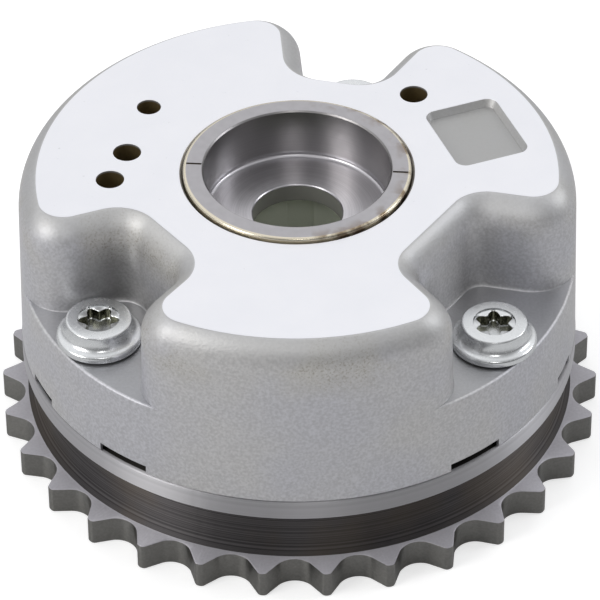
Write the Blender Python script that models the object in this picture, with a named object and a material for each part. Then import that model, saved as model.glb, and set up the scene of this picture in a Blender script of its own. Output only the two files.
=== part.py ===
"""A vane-type cam phaser with a chain sprocket, as an assembly of solids.

+Z is the camshaft's axis and points at the front of the engine. The origin is on that axis, in the
plane of the sprocket's underside. +X is to the right of the photograph, which looks along +Y.
Lengths below are in millimetres and angles in degrees; publish() turns them into metres.
"""

import math

import bmesh
import bpy
from mathutils import Matrix, Vector

for thing in list(bpy.data.objects):
    bpy.data.objects.remove(thing, do_unlink=True)

MM = 0.001
GAP = 0.3                      # clearance kept between neighbouring pieces

# Sprocket: toothed rim, turned neck and the flange that closes the housing, in one piece
TEETH = 30
TIP_R = 48.1
ROOT_R = 44.45                 # bottom of the valleys
VALLEY_ARC_R = 3.3
VALLEY_ARC_DEG = 50.0          # each valley's arc runs this far to both sides
TIP_FLAT = 1.1                 # width of the flat on a tooth's tip
TIP_ROUND = 0.45
TOOTH_H = 4.65
FLANGE_R = 44.4
FLANGE_Z = 12.9
PLATE_Z = 16.2                 # joint face between sprocket and housing
BORE_R = 18.0                  # runs on the rotor's rear hub
RELIEF_IN, RELIEF_OUT, RELIEF_Z = 21.5, 33.0, 8.0
FRONT_VALLEY = -91.27          # the valley that faces the viewer
# The neck's turned curve from the teeth up to the flange: radius and height
NECK = [(44.1, TOOTH_H), (43.5, 5.0), (42.95, 6.0), (42.5, 7.9), (42.45, 10.2), (42.9, 12.1),
        (44.0, FLANGE_Z)]

# Housing: outside
SKIRT_Z = PLATE_Z + GAP
SEAT_Z = 30.0                  # bolt seats, at the bottom of the three bays
FACE_Z = 46.0                  # machined front face
WALL_R = 44.0                  # cast wall at the height of the seats
DRAFT = 0.71 / 30.0            # growth of the wall's radius for each mm downwards
FACE_R = 40.9                  # edge of the machined face
MOUTH_R = 4.0                  # rounding of a bay's mouth at the face, in plan
# Each bay at the face: direction, distance of its inner end, half width there, flare of its sides, inner
# corners, and the steps of the lobe that follows it
BAYS = {
    "back": (75.8, 23.9, 7.9, 0.33, 7.0, 16),
    "left": (217.2, 24.8, 9.65, 0.30, 7.0, 10),
    "right": (325.2, 24.7, 11.2, 0.40, 6.0, 11),
}
# The bays' walls from the seat up: height and how much narrower the bay is than at the face
BAY_WALL = [(SEAT_Z, 3.1), (30.2, 2.9), (30.7, 2.8), (41.0, 2.65)]
# The rounded shoulder under the face: height, the same, and the outer wall's radius
SHOULDER = [(43.2, 2.1, 43.2), (44.7, 1.3, 42.4), (45.5, 0.65, 41.7), (FACE_Z, 0.0, FACE_R)]
# Slots cast into the lower rim, each with its direction and width
RIM_NOTCHES = [(204.3, 7.0), (231.7, 9.1), (307.8, 9.6), (340.6, 6.1), (60.0, 8.0), (92.0, 8.0)]
RIM_NOTCH_R, RIM_NOTCH_Z = 41.0, 17.8
# Small holes through the front wall: place and radius
VENT_HOLES = [(-23.5, 17.0, 1.93), (-26.7, 5.2, 2.23), (-29.2, -1.7, 2.23), (18.75, 19.7, 2.23)]
POCKET_AT, POCKET_SIZE, POCKET_TURN, POCKET_Z = (28.4, 9.6), (12.2, 15.1), 20.7, 44.8
POCKET_CORNER = 1.8
HOUSING_NOSE_R = 18.7

# Housing: the three oil chambers, each from and to an angle, and the vanes' travel in them
CHAMBERS = {"b": (-1.0, 52.0), "a": (101.0, 189.5), "c": (245.5, 293.0)}
CEILING_Z = 40.0
CHAMBER_R = 37.0
WALL_TIP_R = 19.5              # tips of the walls between the chambers
TRAVEL = 30.0                  # at the camshaft, 60 at the crankshaft
STOP_GAP = 1.0                 # left between a vane and its stop at either end

# Rotor
HUB_R = 19.2
VANE_R = CHAMBER_R - GAP
VANE_Z0, VANE_Z1 = SKIRT_Z, CEILING_Z - GAP
REAR_R, REAR_Z = 17.7, 0.8
NOSE_R, NOSE_Z, NOSE_CHAMFER = 18.4, 46.6, 0.95
CUP_R, CUP_Z, CUP_FILLET = 14.95, 37.75, 1.2
HOLE_R, WEB_Z = 7.1, 34.4      # centre bolt, and the face that the camshaft seats on
SOCKET_R = 12.0                # camshaft nose
KEYWAY_DEG, KEYWAY_W, KEYWAY_R, KEYWAY_Z = 88.0, 4.3, 13.2, 33.6
PORT_R = 1.2                   # oil ports, one low and one high at each vane
PORT_Z0, PORT_Z1 = 24.5, 31.0

# Seals and their leaf springs, in slots of one width
SLOT_W = 3.0
VANE_SLOT_R, WALL_SLOT_R = 32.0, 22.9
SEAL_T = 3.2                   # radial thickness of a vane's seal
WALL_SEAL_T = 2.1
LEAF_T, LEAF_BOW = 0.28, 0.6
SEAL_Z0, SEAL_Z1 = VANE_Z0 + GAP, VANE_Z1 - GAP

# Lock pin, in the wide vane
PIN_AT = (-26.7, 5.2)
PIN_R, PIN_HEAD_R = 3.6, 4.5
PIN_LEDGE_Z, PIN_TOP_Z, PIN_CUP_Z, PIN_CUP_R = 22.0, 30.0, 19.0, 2.9
CAP_Z0, CAP_Z1, CAP_VENT_R = 36.3, 39.4, 1.2
COIL_R, WIRE_R, COIL_TURNS, COIL_STEPS = 2.2, 0.35, 6, 9
BUSH_Z, BUSH_R = 11.1, 5.5

# Bolts
BOLTS = {"back": (75.2, 36.2), "left": (214.4, 37.4), "right": (322.6, 37.9)}
BOLT_FLANGE_R, HEAD_R, HEAD_TOP_Z = 6.6, 5.1, 34.1
SHANK_R, SHANK_Z, THREAD_HOLE_Z = 2.9, 7.5, 6.8
LOBE_R, LOBE_DEPTH_Z = (2.72, 0.44), 31.8


def on_circle(radius, degrees):
    """A point of the plan at a radius and an angle from +X."""
    angle = math.radians(degrees)
    return Vector((radius * math.cos(angle), radius * math.sin(angle)))


def arc(centre, radius, start, end, steps):
    """Points along an arc from start to end, both included."""
    return [Vector(centre) + on_circle(radius, start + (end - start) * i / steps)
            for i in range(steps + 1)]


def rotated(points, degrees):
    """Plan points turned about the axis."""
    spin = Matrix.Rotation(math.radians(degrees), 2)
    return [spin @ p for p in points]


def angle_of(point):
    """A plan point's angle from +X."""
    return math.degrees(math.atan2(point.y, point.x))


def material(name, colour, metallic, roughness):
    """A plain finish."""
    finish = bpy.data.materials.new(name)
    finish.use_nodes = True
    shader = finish.node_tree.nodes["Principled BSDF"]
    shader.inputs["Base Color"].default_value = (*colour, 1.0)
    shader.inputs["Metallic"].default_value = metallic
    shader.inputs["Roughness"].default_value = roughness
    return finish


def publish(name, shape, finish, location=(0.0, 0.0), smooth=35.0):
    """Turns a bmesh in millimetres into an object in metres, at a place in plan."""
    bmesh.ops.scale(shape, vec=(MM, MM, MM), verts=shape.verts)
    bmesh.ops.recalc_face_normals(shape, faces=shape.faces)
    mesh = bpy.data.meshes.new(name)
    shape.to_mesh(mesh)
    shape.free()
    mesh.materials.append(finish)
    mesh.shade_smooth()
    mesh.set_sharp_from_angle(angle=math.radians(smooth))
    thing = bpy.data.objects.new(name, mesh)
    thing.location = (location[0] * MM, location[1] * MM, 0.0)
    bpy.context.scene.collection.objects.link(thing)
    return thing


def boolean(thing, name, shape, operation="DIFFERENCE"):
    """Cuts a hidden tool out of a piece, or joins it on."""
    tool = publish(name, shape, thing.data.materials[0])
    tool.hide_render = True
    tool.display_type = "WIRE"
    step = thing.modifiers.new(name, "BOOLEAN")
    step.operation = operation
    step.solver = "EXACT"
    step.object = tool


def prism(outline, z0, z1):
    """A plan outline extruded from z0 to z1."""
    shape = bmesh.new()
    base = shape.faces.new([shape.verts.new((p.x, p.y, z0)) for p in outline])
    top = bmesh.ops.extrude_face_region(shape, geom=[base])["geom"]
    lid = [item for item in top if isinstance(item, bmesh.types.BMVert)]
    bmesh.ops.translate(shape, verts=lid, vec=(0.0, 0.0, z1 - z0))
    return shape


def turned(profile, steps):
    """A closed (radius, height) profile spun about the axis; a side on the axis closes to poles."""
    shape = bmesh.new()
    corners = [shape.verts.new((radius, 0.0, z)) for radius, z in profile]
    sides = [shape.edges.new(pair) for pair in zip(corners, corners[1:] + corners[:1])
             if pair[0].co.x > 0 or pair[1].co.x > 0]
    bmesh.ops.spin(shape, geom=corners + sides, cent=(0, 0, 0), axis=(0, 0, 1),
                   angle=2 * math.pi, steps=steps, use_merge=True)
    bmesh.ops.remove_doubles(shape, verts=shape.verts, dist=1e-4)
    return shape


def cylinder(radius, z0, z1, at=(0.0, 0.0), steps=24):
    """A round bar along +Z."""
    return prism(arc(at, radius, 0.0, 360.0 - 360.0 / steps, steps - 1), z0, z1)


def moved(shape, at, degrees=0.0):
    """A bmesh turned about its own origin and then shifted in plan."""
    bmesh.ops.rotate(shape, verts=shape.verts, matrix=Matrix.Rotation(math.radians(degrees), 3, "Z"))
    bmesh.ops.translate(shape, verts=shape.verts, vec=(at[0], at[1], 0.0))
    return shape


def block(x0, x1, half_width, z0, z1, degrees):
    """A block that reaches from x0 to x1 from the axis, turned to a direction."""
    corners = [Vector((x0, -half_width)), Vector((x1, -half_width)),
               Vector((x1, half_width)), Vector((x0, half_width))]
    return prism(rotated(corners, degrees), z0, z1)


def together(shapes):
    """Separate bodies in one bmesh, to cut in one step."""
    whole = bmesh.new()
    for shape in shapes:
        part = bpy.data.meshes.new("part")
        shape.to_mesh(part)
        shape.free()
        whole.from_mesh(part)
        bpy.data.meshes.remove(part)
    return whole


def slotted_arc(radius, start, end, slot, slot_r):
    """An arc about the axis with a square slot at one angle, sunk to another radius."""
    half = math.degrees(math.asin(SLOT_W / 2 / radius))
    before = max(1, round((slot - half - start) / 6.0))
    after = max(1, round((end - slot - half) / 6.0))
    floor = rotated([Vector((slot_r, -SLOT_W / 2)), Vector((slot_r, SLOT_W / 2))], slot)
    return (arc((0, 0), radius, start, slot - half, before) + floor
            + arc((0, 0), radius, slot + half, end, after))


def sectors(spans, inner_r, outer_r, corner, wall_slot_r=None, tip_slot_r=None):
    """A hub with sectors standing on it, each span from and to an angle.

    The sectors' outer corners are rounded. Either the arcs between the sectors or the sectors' own
    tips carry the seal slots.
    """
    outline = []
    spans = sorted(spans)
    for (start, end), (following, _) in zip(spans, spans[1:] + [(spans[0][0] + 360.0, None)]):
        lean = math.degrees(math.asin(corner / (outer_r - corner)))
        outline += arc(on_circle(outer_r - corner, start + lean), corner, start - 90.0, start + lean, 3)[:-1]
        if tip_slot_r:
            outline += slotted_arc(outer_r, start + lean, end - lean, (start + end) / 2, tip_slot_r)
        else:
            outline += arc((0, 0), outer_r, start + lean, end - lean, round((end - start) / 6.0))
        outline += arc(on_circle(outer_r - corner, end - lean), corner, end - lean, end + 90.0, 3)[1:]
        if wall_slot_r:
            outline += slotted_arc(inner_r, end, following, (end + following) / 2, wall_slot_r)
        else:
            outline += arc((0, 0), inner_r, end, following, round((following - end) / 6.0))
    return outline


def wall_radius(z):
    """The cast wall's radius below the shoulder."""
    return WALL_R + DRAFT * (SEAT_Z - z)


def bay_outline(bay, wall_r, narrower):
    """One bay in plan, from the mouth's one side, round its inner end, to the other.

    In the bay's own directions a side starts at (depth, half) and leans outwards by the flare. The
    mouth's arc touches that side and the outer wall, so its centre is mouth_r past the side and
    wall_r - mouth_r from the axis. The inner corner's arc touches the side and the inner end. A narrower
    bay is the face's outline offset into the bay, so its mouth is rounder and its corners are tighter.
    """
    direction, depth, half, flare, corner_r, _ = BAYS[bay]
    depth, half = depth + narrower, half - narrower
    mouth_r, corner_r = MOUTH_R + narrower, corner_r - narrower
    side = Vector((1.0, flare)).normalized()
    past = Vector((depth, half)) + Vector((-side.y, side.x)) * mouth_r
    reach = wall_r - mouth_r
    along = math.sqrt(past.dot(side) ** 2 - past.length_squared + reach ** 2) - past.dot(side)
    mouth = past + side * along
    corner = Vector((depth + corner_r, half + flare * corner_r - corner_r / side.x))
    lean = angle_of(side)
    upper = (arc(mouth, mouth_r, angle_of(mouth), lean - 90.0, 7)
             + arc(corner, corner_r, lean + 90.0, 180.0, 6))
    lower = [Vector((p.x, -p.y)) for p in upper]
    return rotated(lower + upper[::-1], direction)


def housing_stretches(wall_r, narrower):
    """The housing's outline as bays and the lobes between them, anticlockwise."""
    bays = [bay_outline(bay, wall_r, narrower) for bay in BAYS]
    stretches = []
    for this, following, bay in zip(bays, bays[1:] + bays[:1], BAYS.values()):
        start, end = angle_of(this[-1]), angle_of(following[0])
        end += 360.0 if end < start else 0.0
        stretches.append((this, arc((0, 0), wall_r, start, end, bay[-1])[1:-1]))
    return stretches


def housing_shape():
    """The casting's outside: a drafted drum below the bolt seats, and the bayed outline above them."""
    shape = bmesh.new()

    def band(lower, upper):
        """Side faces between two rings of equal length."""
        for i, corner in enumerate(lower):
            shape.faces.new((lower[i - 1], corner, upper[i], upper[i - 1]))

    levels = [(z, narrower, wall_radius(z)) for z, narrower in BAY_WALL] + SHOULDER
    seat_drum, seats, below = [], [], None
    for z, narrower, wall_r in levels:
        ring = []
        for bay, lobe in housing_stretches(wall_r, narrower):
            bay_verts = [shape.verts.new((*p, z)) for p in bay]
            lobe_verts = [shape.verts.new((*p, z)) for p in lobe]
            ring += bay_verts + lobe_verts
            if below is None:
                start, end = angle_of(bay[0]), angle_of(bay[-1])
                end += 360.0 if end < start else 0.0
                rim = [shape.verts.new((*p, z)) for p in arc((0, 0), wall_r, start, end, 8)[1:-1]]
                seat_drum += [bay_verts[0]] + rim + [bay_verts[-1]] + lobe_verts
                seats.append([bay_verts[0]] + rim + bay_verts[:0:-1])
        if below:
            band(below, ring)
        below = ring
    shape.faces.new(below)
    for seat in seats:
        shape.faces.new(seat)

    upper = seat_drum
    for z, wall_r in ((SKIRT_Z + 0.4, wall_radius(SKIRT_Z)), (SKIRT_Z, wall_radius(SKIRT_Z) - 0.3)):
        ring = [shape.verts.new((v.co.x * wall_r / WALL_R, v.co.y * wall_r / WALL_R, z)) for v in seat_drum]
        band(ring, upper)
        upper = ring
    shape.faces.new(upper[::-1])
    return shape


def pocket_outline():
    """The shallow rectangular pocket in the front face, with rounded corners."""
    x, y = POCKET_SIZE[0] / 2 - POCKET_CORNER, POCKET_SIZE[1] / 2 - POCKET_CORNER
    corners = [((x, y), 0.0), ((-x, y), 90.0), ((-x, -y), 180.0), ((x, -y), 270.0)]
    outline = [p for centre, start in corners for p in arc(centre, POCKET_CORNER, start, start + 90.0, 3)]
    return [p + Vector(POCKET_AT) for p in rotated(outline, POCKET_TURN)]


def make_housing(finish):
    """The cast housing with its chambers, nose bore, bolt holes, vents, pocket and rim notches."""
    housing = publish("housing", housing_shape(), finish)
    chambers = sectors(CHAMBERS.values(), WALL_TIP_R, CHAMBER_R, 2.5, wall_slot_r=WALL_SLOT_R)
    boolean(housing, "chambers_cut", prism(chambers, SKIRT_Z - 1.0, CEILING_Z))
    boolean(housing, "nose_cut", cylinder(HOUSING_NOSE_R, CEILING_Z - 2.0, FACE_Z + 1.0, steps=60))
    cuts = [cylinder(r, CEILING_Z - 1.0, FACE_Z + 1.0, (x, y), 20) for x, y, r in VENT_HOLES]
    cuts += [cylinder(SHANK_R + GAP, SKIRT_Z - 1.0, SEAT_Z + 1.0, on_circle(r, a))
             for a, r in BOLTS.values()]
    cuts += [block(RIM_NOTCH_R, WALL_R + 2.0, width / 2, SKIRT_Z - 1.0, RIM_NOTCH_Z, a)
             for a, width in RIM_NOTCHES]
    cuts.append(prism(pocket_outline(), POCKET_Z, FACE_Z + 1.0))
    boolean(housing, "details_cut", together(cuts))
    return housing


def tooth_outline():
    """The toothed rim: each valley is an arc, each flank straight, each tip flat with round corners.

    Across a valley, an offset x from its centre line stands at x / radius from the valley's angle.
    """
    side = math.radians(VALLEY_ARC_DEG)
    valley = [(VALLEY_ARC_R * math.sin(side * i / 2), ROOT_R + VALLEY_ARC_R * (1 - math.cos(side * i / 2)))
              for i in range(-2, 3)]
    half_pitch = TIP_R * math.pi / TEETH
    corner = half_pitch - TIP_FLAT / 2
    climb = [(corner - TIP_ROUND, TIP_R - 1.2 * TIP_ROUND),
             (corner - 0.45 * TIP_ROUND, TIP_R - 0.3 * TIP_ROUND), (corner, TIP_R)]
    one = [(-x, r) for x, r in climb[::-1]] + valley + climb
    return [on_circle(r, FRONT_VALLEY + 360.0 * k / TEETH + math.degrees(x / r))
            for k in range(TEETH) for x, r in one]


def make_sprocket(finish):
    """Teeth, neck and flange, bored for the rotor and relieved underneath."""
    sprocket = publish("sprocket", prism(tooth_outline(), 0.0, TOOTH_H), finish)
    body = [(0.0, TOOTH_H / 2), (NECK[0][0], TOOTH_H / 2)] + NECK + [
        (FLANGE_R, FLANGE_Z + 0.35), (FLANGE_R, PLATE_Z - 0.4), (FLANGE_R - 0.35, PLATE_Z), (0.0, PLATE_Z)]
    boolean(sprocket, "neck_and_flange", turned(body, 72), "UNION")
    relief = [(RELIEF_IN, -1.0), (RELIEF_OUT + 0.5, -1.0), (RELIEF_OUT, RELIEF_Z - 1.0),
              (RELIEF_OUT - 1.0, RELIEF_Z), (RELIEF_IN, RELIEF_Z)]
    cuts = [cylinder(BORE_R, -1.0, PLATE_Z + 1.0, steps=48), turned(relief, 48),
            cylinder(BUSH_R + GAP, BUSH_Z - GAP, PLATE_Z + 1.0, PIN_AT)]
    cuts += [cylinder(SHANK_R + GAP, THREAD_HOLE_Z, PLATE_Z + 1.0, on_circle(r, a))
             for a, r in BOLTS.values()]
    boolean(sprocket, "holes_cut", together(cuts))
    return sprocket


def vane_spans():
    """Each vane at the retarded stop: its chamber less the travel and a gap at both ends."""
    return {key: (start + TRAVEL + STOP_GAP, end - STOP_GAP) for key, (start, end) in CHAMBERS.items()}


def radial_bar(radius, x0, x1, z, degrees):
    """A round bar that reaches from x0 to x1 from the axis at a height."""
    shape = cylinder(radius, x0, x1, steps=12)
    bmesh.ops.rotate(shape, verts=shape.verts, matrix=Matrix.Rotation(math.pi / 2, 3, "Y"))
    bmesh.ops.translate(shape, verts=shape.verts, vec=(0.0, 0.0, z))
    return moved(shape, (0.0, 0.0), degrees)


def make_rotor(finish):
    """Three vanes on a hub whose nose comes out of the housing; the hub takes bolt and camshaft."""
    vanes = sectors(vane_spans().values(), HUB_R, VANE_R, 2.2, tip_slot_r=VANE_SLOT_R)
    rotor = publish("rotor", prism(vanes, VANE_Z0, VANE_Z1), finish)
    hub = [(0.0, REAR_Z), (REAR_R - 0.4, REAR_Z), (REAR_R, REAR_Z + 0.4), (REAR_R, VANE_Z0 + 1.0),
           (NOSE_R, VANE_Z0 + 2.0), (NOSE_R, NOSE_Z - NOSE_CHAMFER), (NOSE_R - 0.35, NOSE_Z - 0.35),
           (NOSE_R - NOSE_CHAMFER, NOSE_Z), (0.0, NOSE_Z)]
    boolean(rotor, "hub", turned(hub, 60), "UNION")
    fillet = [(CUP_R - CUP_FILLET + p.x, CUP_Z + CUP_FILLET + p.y)
              for p in arc((0, 0), CUP_FILLET, -90.0, 0.0, 3)]
    cup = [(0.0, 0.0), (SOCKET_R + 1.0, 0.0), (SOCKET_R, REAR_Z + 0.5), (SOCKET_R, WEB_Z),
           (HOLE_R, WEB_Z), (HOLE_R, CUP_Z - 0.3), (HOLE_R + 0.3, CUP_Z)] + fillet + [
           (CUP_R, NOSE_Z - 0.25), (CUP_R + 0.5, NOSE_Z + 0.25), (0.0, NOSE_Z + 0.25)]
    boolean(rotor, "bores_cut", turned(cup, 48))
    pin_bore = [(0.0, 10.0), (PIN_R + GAP, 10.0), (PIN_R + GAP, PIN_LEDGE_Z),
                (PIN_HEAD_R + GAP, PIN_LEDGE_Z), (PIN_HEAD_R + GAP, 44.0), (0.0, 44.0)]
    cuts = [block(SOCKET_R - 1.0, KEYWAY_R, KEYWAY_W / 2, -1.0, KEYWAY_Z, KEYWAY_DEG),
            moved(turned(pin_bore, 24), PIN_AT)]
    for start, end in vane_spans().values():
        cuts += [radial_bar(PORT_R, SOCKET_R - 1.0, HUB_R + 1.0, PORT_Z0, start - 4.5),
                 radial_bar(PORT_R, SOCKET_R - 1.0, HUB_R + 1.0, PORT_Z1, end + 3.8)]
    boolean(rotor, "ports_cut", together(cuts))
    return rotor


def make_seal(name, inner_r, outer_r, round_r, degrees, finish):
    """A seal bar in its slot, with its rubbing side's edges rounded."""
    half = SLOT_W / 2 - GAP
    bevel = 0.5
    if round_r == outer_r:
        profile = [(inner_r, -half), (outer_r - bevel, -half), (outer_r, -half + bevel),
                   (outer_r, half - bevel), (outer_r - bevel, half), (inner_r, half)]
    else:
        profile = [(inner_r, -half + bevel), (inner_r + bevel, -half), (outer_r, -half),
                   (outer_r, half), (inner_r + bevel, half), (inner_r, half - bevel)]
    outline = rotated([Vector(p) for p in profile], degrees)
    return publish(name, prism(outline, SEAL_Z0, SEAL_Z1), finish)


def make_leaf_spring(name, floor_r, degrees, outwards, finish):
    """A bowed strip that pushes a seal out of its slot.

    Along the seal the strip's distance from the slot's floor follows half a sine wave.
    """
    steps = 10
    z0, z1 = SEAL_Z0 + 1.5, SEAL_Z1 - 1.5
    back = [(floor_r + outwards * (GAP + LEAF_BOW * math.sin(math.pi * i / steps)),
             z0 + (z1 - z0) * i / steps) for i in range(steps + 1)]
    front = [(r + outwards * LEAF_T, z) for r, z in reversed(back)]
    shape = prism([Vector(p) for p in back + front], -SLOT_W / 2 + 0.4, SLOT_W / 2 - 0.4)
    bmesh.ops.rotate(shape, verts=shape.verts, matrix=Matrix.Rotation(math.pi / 2, 3, "X"))
    return publish(name, moved(shape, (0.0, 0.0), degrees), finish)


def make_lock_pin(finish):
    """A stepped, hollow pin. It stands with its tip level with the vane's underside."""
    profile = [(0.0, VANE_Z0), (PIN_R - 0.4, VANE_Z0), (PIN_R, VANE_Z0 + 0.5), (PIN_R, PIN_LEDGE_Z + GAP),
               (PIN_HEAD_R, PIN_LEDGE_Z + GAP), (PIN_HEAD_R, PIN_TOP_Z - 0.3), (PIN_HEAD_R - 0.3, PIN_TOP_Z),
               (PIN_CUP_R, PIN_TOP_Z), (PIN_CUP_R, PIN_CUP_Z), (0.0, PIN_CUP_Z)]
    return publish("lock_pin", turned(profile, 20), finish, PIN_AT)


def make_lock_spring(finish):
    """The coil spring between the pin's cup and the cap."""
    z0 = PIN_CUP_Z + GAP + WIRE_R
    z1 = CAP_Z0 - GAP - WIRE_R
    curve = bpy.data.curves.new("lock_pin_spring", "CURVE")
    curve.dimensions = "3D"
    curve.bevel_depth = WIRE_R * MM
    curve.bevel_resolution = 1
    curve.use_fill_caps = True
    coil = curve.splines.new("POLY")
    count = COIL_TURNS * COIL_STEPS + 1
    coil.points.add(count - 1)
    for i, point in enumerate(coil.points):
        at = on_circle(COIL_R, 360.0 * i / COIL_STEPS)
        z = z0 + (z1 - z0) * i / (count - 1)
        point.co = (at.x * MM, at.y * MM, z * MM, 1.0)
    curve.materials.append(finish)
    spring = bpy.data.objects.new("lock_pin_spring", curve)
    spring.location = (PIN_AT[0] * MM, PIN_AT[1] * MM, 0.0)
    bpy.context.scene.collection.objects.link(spring)
    return spring


def make_lock_cap(finish):
    """The vented cap that the spring pushes against."""
    profile = [(CAP_VENT_R, CAP_Z0), (PIN_HEAD_R, CAP_Z0), (PIN_HEAD_R, CAP_Z1 - 0.3),
               (PIN_HEAD_R - 0.3, CAP_Z1), (CAP_VENT_R, CAP_Z1)]
    return publish("lock_pin_cap", turned(profile, 20), finish, PIN_AT)


def make_lock_bush(finish):
    """The hardened bush in the sprocket that the pin drops into at the retarded stop."""
    top = PLATE_Z - GAP
    profile = [(PIN_R + GAP, BUSH_Z), (BUSH_R, BUSH_Z), (BUSH_R, top), (PIN_R + GAP + 0.4, top),
               (PIN_R + GAP, top - 0.4)]
    return publish("lock_pin_bush", turned(profile, 20), finish, PIN_AT)


def make_bolt(bay, finish):
    """A flange bolt with a six-lobe recess.

    Round the recess the radius is the mean radius plus the lobe's height times cos(6 x angle).
    """
    degrees, radius = BOLTS[bay]
    under = SEAT_Z + GAP
    profile = [(0.0, SHANK_Z), (SHANK_R - 0.5, SHANK_Z), (SHANK_R, SHANK_Z + 0.5), (SHANK_R, under),
               (BOLT_FLANGE_R - 0.2, under), (BOLT_FLANGE_R, under + 0.25), (BOLT_FLANGE_R, under + 0.8),
               (BOLT_FLANGE_R - 0.35, under + 1.15), (HEAD_R + 0.25, under + 1.7), (HEAD_R, under + 2.1),
               (HEAD_R, HEAD_TOP_Z - 0.5), (HEAD_R - 0.5, HEAD_TOP_Z), (0.0, HEAD_TOP_Z)]
    at = on_circle(radius, degrees)
    bolt = publish(f"bolt_{bay}", moved(turned(profile, 24), at), finish)
    mean, lobe = LOBE_R
    recess = [at + on_circle(mean + lobe * math.cos(math.radians(6 * a)), a) for a in range(0, 360, 15)]
    boolean(bolt, f"recess_{bay}", prism(recess, LOBE_DEPTH_Z, HEAD_TOP_Z + 1.0))
    return bolt


def main():
    """Builds every piece; what turns with the camshaft hangs on the rotor."""
    cast = material("cast_aluminium", (0.42, 0.42, 0.43), 0.7, 0.55)
    sintered = material("sintered_steel", (0.38, 0.37, 0.38), 0.9, 0.40)
    turned_steel = material("turned_steel", (0.47, 0.46, 0.47), 1.0, 0.30)
    zinc = material("zinc_plate", (0.68, 0.69, 0.70), 1.0, 0.25)
    spring_steel = material("spring_steel", (0.30, 0.30, 0.31), 1.0, 0.35)
    hard_steel = material("hardened_steel", (0.33, 0.33, 0.35), 1.0, 0.25)
    plastic = material("seal_plastic", (0.05, 0.045, 0.04), 0.0, 0.50)

    rotor = make_rotor(turned_steel)
    still = [make_housing(cast), make_sprocket(sintered), make_lock_bush(hard_steel)]
    still += [make_bolt(bay, zinc) for bay in BOLTS]
    turning = [make_lock_pin(hard_steel), make_lock_spring(spring_steel), make_lock_cap(hard_steel)]

    for key, (start, end) in vane_spans().items():
        middle = (start + end) / 2
        turning.append(make_seal(f"vane_seal_{key}", VANE_R - SEAL_T, VANE_R, VANE_R, middle, plastic))
        turning.append(make_leaf_spring(f"vane_seal_spring_{key}", VANE_SLOT_R, middle, 1, spring_steel))

    spans = sorted(CHAMBERS.values())
    for bay, (_, end), (start, _) in zip(BAYS, spans, spans[1:] + [(spans[0][0] + 360.0, None)]):
        middle = (end + start) / 2
        still.append(make_seal(f"wall_seal_{bay}", WALL_TIP_R, WALL_TIP_R + WALL_SEAL_T, WALL_TIP_R,
                               middle, plastic))
        still.append(make_leaf_spring(f"wall_seal_spring_{bay}", WALL_SLOT_R, middle, -1, spring_steel))

    frame = bpy.data.objects.new("cam_phaser", None)
    bpy.context.scene.collection.objects.link(frame)
    for piece in still + [rotor]:
        piece.parent = frame
    for piece in turning:
        piece.parent = rotor


main()
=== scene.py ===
# %% [markdown]
# # A cam phaser, dressed for the camera
#
# A cam phaser sits on the end of a camshaft. A chain turns its sprocket, a cast housing is bolted to the
# sprocket, and oil pressure turns a vaned rotor a short way inside the housing. That shifts the valve timing.
#
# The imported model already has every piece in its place, as solids with few faces. This notebook keeps those
# places and sizes, and makes the surfaces that the camera sees: fine curves, eased edges and finishes.

# %% Load the frame
import math

import bmesh
import bpy
import numpy as np
from mathutils import Matrix


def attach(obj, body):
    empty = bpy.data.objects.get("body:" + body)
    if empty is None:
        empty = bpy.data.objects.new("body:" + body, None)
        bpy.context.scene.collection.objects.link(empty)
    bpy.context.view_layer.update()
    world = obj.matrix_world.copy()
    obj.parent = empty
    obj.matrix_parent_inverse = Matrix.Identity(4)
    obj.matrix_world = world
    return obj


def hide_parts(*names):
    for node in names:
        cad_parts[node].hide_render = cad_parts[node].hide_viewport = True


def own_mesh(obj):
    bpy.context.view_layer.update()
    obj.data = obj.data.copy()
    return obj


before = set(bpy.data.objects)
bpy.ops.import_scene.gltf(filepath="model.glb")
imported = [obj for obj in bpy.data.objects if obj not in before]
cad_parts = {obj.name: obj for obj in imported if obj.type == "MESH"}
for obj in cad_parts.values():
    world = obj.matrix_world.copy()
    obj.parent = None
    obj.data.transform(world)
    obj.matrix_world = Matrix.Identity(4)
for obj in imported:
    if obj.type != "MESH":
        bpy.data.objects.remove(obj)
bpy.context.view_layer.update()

MM = 0.001

# %% [markdown]
# ## Camera
#
# The photograph was taken from the front and above with a long lens. Lens and place were worked out from the
# thirty teeth, whose spacing is known: a focal length in pixels, and millimetres from the sprocket's
# underside. A camera looks along its own -Z, so its third axis points backwards.

# %% Place the camera
PICTURE_PX = 600
FOCAL_PX = 4366.9
SENSOR_MM = 36.0
CAMERA_AT = (0.0, -540.137, 463.266)
PITCH, YAW, ROLL = 39.3816, 0.0257, -0.5877


def added(name, data):
    """A new object with this data, linked to the scene."""
    thing = bpy.data.objects.new(name, data)
    bpy.context.scene.collection.objects.link(thing)
    return thing


def place(thing, axes, at):
    """Stands a camera or a lamp at a point in metres, with its own axes as the columns of axes."""
    pose = np.eye(4)
    pose[:3, :3], pose[:3, 3] = axes, at
    thing.matrix_world = Matrix(pose.tolist())


def camera_axes(pitch, yaw, roll):
    """Right, up and back: yaw turns the view from +Y, pitch lowers it, roll turns the picture."""
    pitch, yaw, roll = np.radians((pitch, yaw, roll))
    forward = np.array((np.sin(yaw) * np.cos(pitch), np.cos(yaw) * np.cos(pitch), -np.sin(pitch)))
    level = np.array((np.cos(yaw), -np.sin(yaw), 0.0))
    upright = np.cross(level, forward)
    right = np.cos(roll) * level + np.sin(roll) * upright
    up = np.cos(roll) * upright - np.sin(roll) * level
    return np.column_stack((right, up, -forward))


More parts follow.
